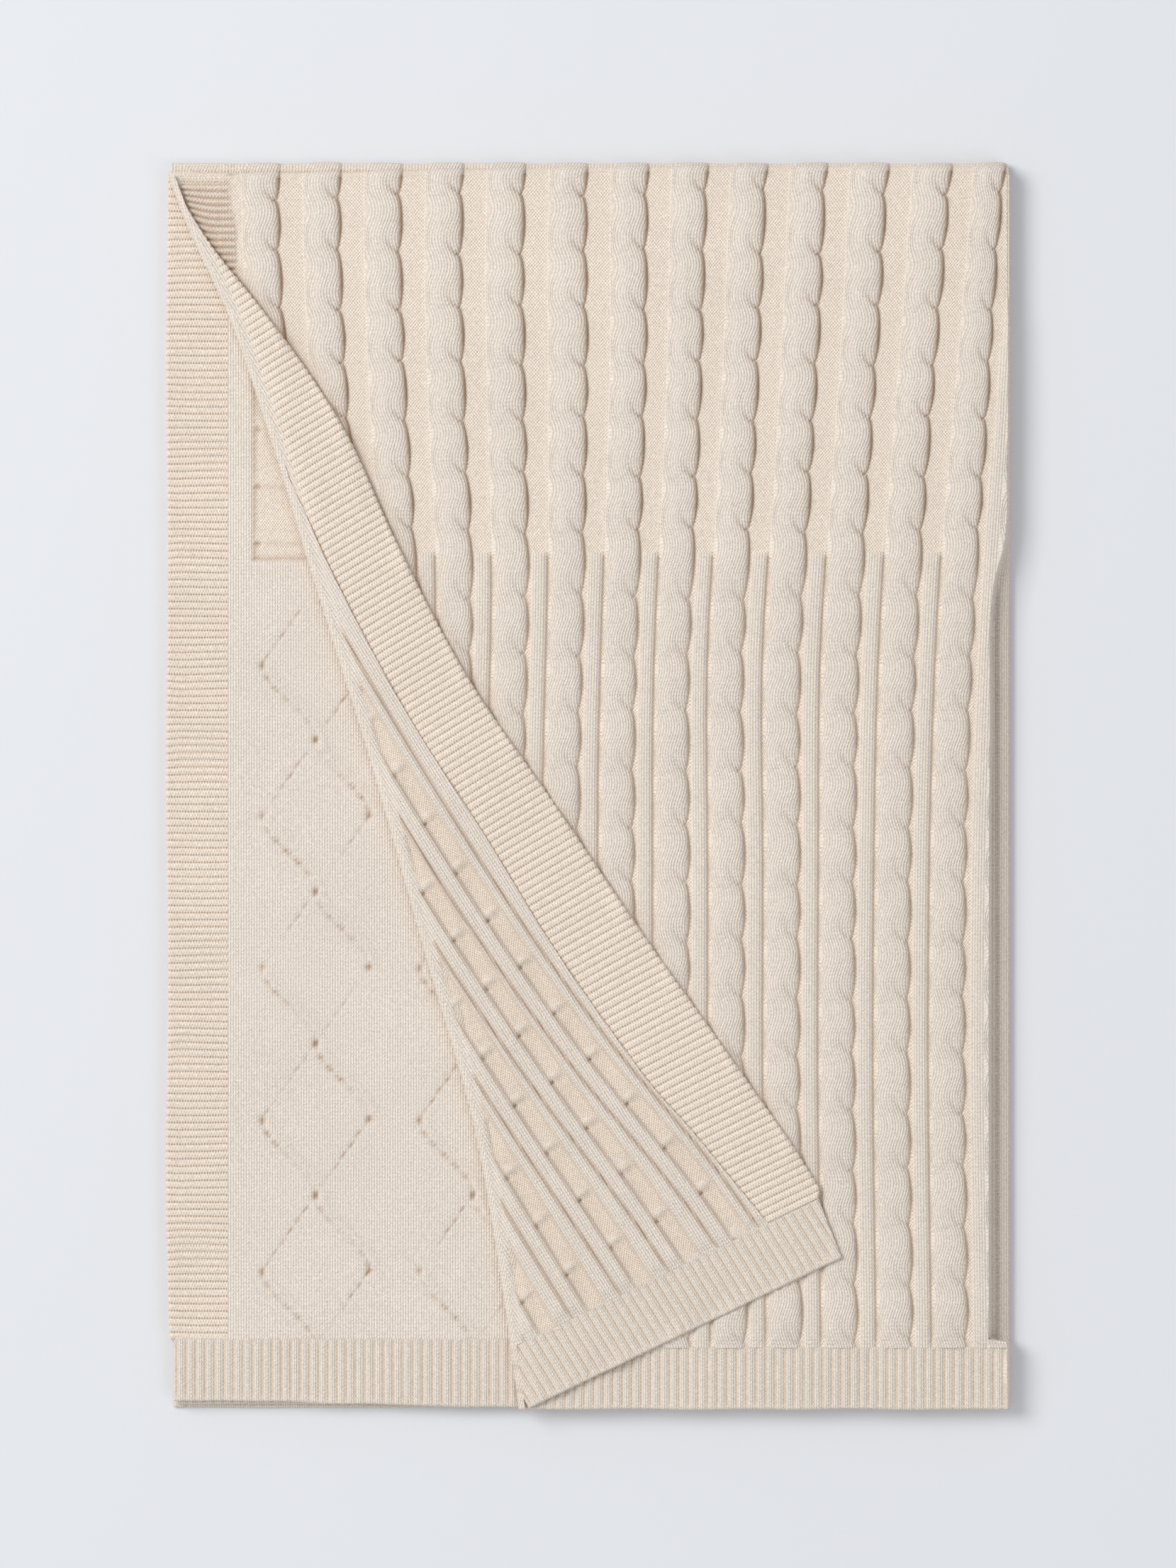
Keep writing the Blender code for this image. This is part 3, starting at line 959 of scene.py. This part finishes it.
def corner_piece(name, x, row, relief, free, stitches, purl, painted_shade, keep, node):
    """One piece of the turned-back corner, from its grid and relief drawn flat.

    The grid is turned back over the diagonal. Its upper face is the relief on a gentle wave
    and sinks towards the fold, and its lower face has the cables of the right side. Near the
    free edge the middle between them hangs down on to the cloth below.
    """
    x = x + 0 * row
    y = corner_drop(x, row)
    droop = DROOP * (1 - ease(corner_seam(y) - x, 0.0, 0.016))
    height = relief + FIELD_WAVE * ripple(x, y, 0.15, 17) - droop
    place_x, place_y = turned_back(x, y)

    below = sum(outer_relief(place_x + step, place_y)[0] for step in (-0.005, 0.0, 0.005)) / 3
    rest = PLY_LEVEL[3] + GROUND + below + 0.0021
    hang = 0.85 * (1 - ease(free, 0.0, 0.0140)) * ease(place_x - fold_line(place_y), 0.010, 0.030)
    middle = (PLY_LEVEL[4] + MIDDLE) * (1 - hang) + rest * hang
    round_off = edge_round(free)
    top = middle + (GROUND - MIDDLE + height) * round_off
    bottom = middle - (0.0013 + 0.0004 * outer_relief(x, y)[0] / 0.0034) * round_off

    # The mirror turns the grid over, so its columns are taken the other way
    grids = (place_x, place_y, top, bottom, stitches[0], stitches[1], purl, painted_shade)
    x, y, top, bottom, u, v, purl, painted_shade = [(grid + 0 * x)[:, ::-1] for grid in grids]
    piece = cloth(name, (x, y, top), (x, y, bottom), (u, v), purl, painted_shade, cream, keep[:, ::-1])
    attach(piece, "corner_flap")
    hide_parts(node)


# Its garter band, with the seam beside the fold knitted as a plain tube
row = HEM_TOP + RIDGE / 6 * np.arange(round(6 * (CORNER_TOP - HEM_TOP) / RIDGE) + 1)[:, None]
edge = corner_edge(row) + 0.0038 * (1 - ease(row, HEM_TOP, HEM_TOP + 0.0090)) ** 2
seam = seam_of(row)
ridge = garter(row - HEM_TOP)
border = corner_border(corner_drop(edge + BAND, row))
share = np.concatenate([RIM / 0.055, np.linspace(0.100, 1.0, 17)])[None, :]
out = share * (border - edge)
x = edge - 0.0005 * ridge + out
inside = x < seam
x = np.minimum(x, seam)
tube = ease(x - seam, -0.0055, -0.0040)
ridge = ridge * (1 - tube) + 0.75 * tube
height = 0.0008 + 0.0014 * ridge - 0.0012 * (1 - ease(border - edge - out, 0.0, 0.0040))
# Painted shade between the garter ridges, none on the tube
corner_piece(
    "corner_garter", x, row, height, out, (x / WALE, (row - HEM_TOP) / RIDGE + 0.5), 0.85 * (1 - tube),
    np.clip(0.6 - ridge, 0, 1) * 0.60, kept_squares(inside), "corner_side_band",
)

# Its field, between the band, the fold and the hem
row = np.linspace(HEM_TOP, 0.3300, 362)[:, None]
seam = seam_of(row)
start = corner_border(corner_drop(corner_edge(row) + BAND, row)) - 0.0010
x = np.linspace(-0.2700, 0.0200, 210)[None, :] + 0 * row
inside = (x > start) & (x < seam)
x = np.clip(x, start, np.maximum(seam, start))
height, purl, painted_shade = reverse_relief(x, corner_drop(x, row))
tube = ease(x - seam, -0.0060, -0.0040)
height = 0.0013 + (height - 0.0013) * ease(row, HEM_TOP, HEM_TOP + 0.0090)
height = height * (1 - tube) + 0.0018 * tube
# Painted shade from the reverse relief, none on the tube
corner_piece(
    "corner_field", x, row, height, NO_EDGE + 0 * x, (x / WALE, row / COURSE), purl * (1 - tube),
    np.clip(painted_shade, 0, 1) * (1 - tube), kept_squares(inside), "corner_panel",
)

# Its ribbed hem, with a bumpy free end
row = HEM_TOP - END_DEPTH + DEPTH
x = np.linspace(-0.3090, -0.0300, 308)[None, :]
left = corner_edge(corner_drop(corner_edge(-0.4970), row)) - 0.0006 * garter(row)
seam = seam_of(row)
inside = (x < seam) & (x > left)
x = np.clip(x + 0 * row, left, seam)
ridge = ribbing(x)
fade = rib_fade(DEPTH)
height = 0.0013 - 0.0017 * (1 - ridge) * fade
free = np.minimum(DEPTH + 0 * x, x - left + 0.0004)
corner_piece(
    "corner_rib", x, row - 0.0004 * ridge * ease(-DEPTH, -0.012, 0.0), height, free,
    (2 * x / RIB_PERIOD + 0.5, row / COURSE), (1 - ridge) * 0.6, rib_shade(ridge, fade),
    kept_squares(inside), "corner_end_rib",
)

# ---------------------------------------------------------------------------------------
# The diagonal fold: the cloth rolls over from the upper outer ply to the turned-back
# corner. It is a strip of its own, half an ellipse round.
ROLL_MIDDLE = 0.0238

y = np.linspace(-0.4760, 0.4670, 480)[:, None]
turn = np.linspace(0, math.pi, 17)[None, :]
flat_x, flat_y = turned_back(fold_line(y) + FOLD, y)
in_rib = ease(HEM_TOP - flat_y, 0.0, 0.0010)
height = 0.0018 * (1 - in_rib) + in_rib * (0.0013 - 0.0017 * (1 - ribbing(flat_x)))
height = height + FIELD_WAVE * ripple(flat_x, flat_y, 0.15, 17) - DROOP
above = PLY_LEVEL[4] + GROUND + height - ROLL_MIDDLE
beneath = ROLL_MIDDLE - (PLY_LEVEL[3] + 0.0002)
up = -np.cos(turn)
z = ROLL_MIDDLE + np.where(up > 0, above * up, beneath * up)
x = fold_line(y) + FOLD - FOLD * np.sin(turn)

# Its inner face runs from the ground of the ply below to the underside of the corner
share = 0.5 - 0.5 * np.cos(turn)
inner_z = PLY_LEVEL[3] + GROUND - 0.0001 + FIELD_WAVE * ripple(x, y, 0.16, 3)
inner_z = inner_z * (1 - share) + 0.0243 * share
inner_x = x + 0.0034 * np.sin(turn)
u = (turn * FOLD + flat_x) / WALE
v = flat_y / COURSE + 0 * turn
# Painted shade where the roll's relief lies below its surroundings
painted_shade = 0.5 * hollows(height + 0 * turn, 2, 2, 0.0011)
x, z, inner_x, inner_z, u, v, painted_shade = [grid[:, ::-1] for grid in (x, z, inner_x, inner_z, u, v, painted_shade)]
corner_roll = cloth("corner_roll", (x, y, z), (inner_x, y, inner_z), (u, v), 0.2 + 0 * x, painted_shade, cream)
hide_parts("corner_fold")
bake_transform(corner_roll)

# ---------------------------------------------------------------------------------------
# The side folds: the upper leaf rolls over to the lower one. The outer cloth lies close
# round the top half and slips out below it, where it shows as a shaded ledge.
SIDE_X = 0.3232
SIDE_MIDDLE = 0.0118
SLIP = 0.0142


def side_slip(y):
    """How far the outer cloth has slipped in, from 0 to 1: the side line's way in, over SLIP."""
    return np.clip((PILE_RIGHT - side_line(y)) / SLIP, 0, 1)


def side_roll(name, node, x, y, z, squeeze, shade):
    """A closed strip bent round the side: x, y and z are its outer face.

    Its inner face is the outer one drawn in to the middle of the fold, by 0.35 across and by
    squeeze in height. Its columns of stitches are counted along the arc.
    """
    core_x = np.minimum(x - 0.0001, SIDE_SEAM + (x - SIDE_SEAM) * 0.35)
    core_z = SIDE_MIDDLE + (z - SIDE_MIDDLE) * squeeze
    along_x = np.diff(x, axis=1, prepend=x[:, :1])
    along_z = np.diff(z, axis=1, prepend=z[:, :1])
    u = -np.cumsum(np.hypot(along_x, along_z), axis=1) / WALE
    # Painted shade, as strong as shade, over the part of the strip below the top ply's edge, where it lies
    # in the upper leaf's shadow
    painted_shade = shade * ease(0.0225 - z, 0.0, 0.004)
    x, z, core_x, core_z, u, painted_shade = [grid[:, ::-1] for grid in (x, z, core_x, core_z, u, painted_shade)]
    piece = cloth(name, (x, y, z), (core_x, y, core_z), (u, y / COURSE), 0 * x, painted_shade, cream)
    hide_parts(node)
    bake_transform(piece)


# The outer strip follows a smooth line through eight points up the side, as (x from SIDE_X,
# z): one line where the cloth lies out in full, and one where it has slipped in
full = np.array([
    (-0.0118, 0.0002), (-0.0055, 0.0012), (-0.0014, 0.0052), (0.0, 0.0105),
    (-0.0004, 0.0150), (-0.0010, 0.0190), (-0.0020, 0.0215), (-0.0034, 0.0226),
])
ledge = np.array([
    (-0.0118, 0.0002), (-0.0045, 0.0004), (-0.0004, 0.0030), (-0.0010, 0.0072),
    (-0.0060, 0.0094), (-0.0138, 0.0098), (-0.0152, 0.0180), (-0.0176, 0.0228),
])
levels = np.linspace(0, 7, 29)
y = np.linspace(-0.4760, 0.4680, 470)[:, None]
slip = side_slip(y)
out, up = [
    through(levels, range(8), full[:, axis])[None, :] * (1 - slip)
    + through(levels, range(8), ledge[:, axis])[None, :] * slip
    for axis in (0, 1)
]

# Its last points are pulled to the edge of the upper outer ply
end_x = side_line(y) - 0.0024
end_z = PLY_LEVEL[3] + GROUND + outer_relief(end_x, y)[0] * (0.55 + 0.45 * ease(y, -0.430, -0.419))
pull = ease(levels, 5.2, 7.0)[None, :]
x = SIDE_X + out + (end_x - SIDE_X - out[:, -1:]) * pull
z = up + (end_z - up[:, -1:]) * pull
side_roll("side_roll_outer", "side_fold_outer", x, y, z, 0.55, 0.10)

# The inner strip is half an ellipse, drawn in where the outer one has slipped
y = np.linspace(-0.4740, 0.4620, 470)[:, None]
slip = side_slip(y)
turn = np.linspace(-math.pi / 2, math.pi / 2, 15)[None, :]
drawn_in = 0.0075 * slip * np.sqrt(0.5 + 0.5 * np.sin(turn))
x = SIDE_SEAM - drawn_in + 0.0056 * (1 - 0.9 * slip) * np.cos(turn)
z = SIDE_MIDDLE + 0.0054 * np.sin(turn) + 0 * y
side_roll("side_roll_inner", "side_fold_inner", x, y, z, 0.15, 0.0)

# ---------------------------------------------------------------------------------------
# Stage: a plain pale floor, soft light from the upper left, and a camera straight above.
bpy.context.scene.view_settings.view_transform = "Standard"
bpy.ops.mesh.primitive_plane_add(size=60, location=(0, 0, -0.0003))
floor = bpy.context.object
floor.name = "floor"
paper = bpy.data.materials.new("pale_floor")
paper.use_nodes = True
surface = paper.node_tree.nodes["Principled BSDF"]
surface.inputs["Base Color"].default_value = (0.785, 0.793, 0.810, 1)
surface.inputs["Roughness"].default_value = 0.9
floor.data.materials.append(paper)
floor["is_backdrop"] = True

world = bpy.data.worlds.new("soft_sky")
bpy.context.scene.world = world
world.use_nodes = True
sky = world.node_tree.nodes["Background"]
sky.inputs["Color"].default_value = (0.93, 0.96, 1.0, 1)
sky.inputs["Strength"].default_value = 0.51

# Two square lamps, each turned to face the middle of the pile
for name, place, size, power in (
    ("key", (-4.3, 2.1, 5.6), 3.6, 325.0),
    ("fill", (2.5, -2.0, 5.0), 3.0, 40.0),
):
    light = bpy.data.lights.new(name, "AREA")
    light.size = size
    light.energy = power
    lamp = bpy.data.objects.new(name, light)
    bpy.context.scene.collection.objects.link(lamp)
    lamp.location = place
    aim = -np.array(place) / np.linalg.norm(place)
    lamp.rotation_euler = (math.acos(-aim[2]), 0, math.atan2(aim[1], aim[0]) - math.pi / 2)

lens = bpy.data.cameras.new("camera")
lens.lens = 180
lens.sensor_width = 36
camera = bpy.data.objects.new("camera", lens)
bpy.context.scene.collection.objects.link(camera)
camera.location = (-0.0007, 0.0019, 6.02)
bpy.context.scene.camera = camera

low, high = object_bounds()
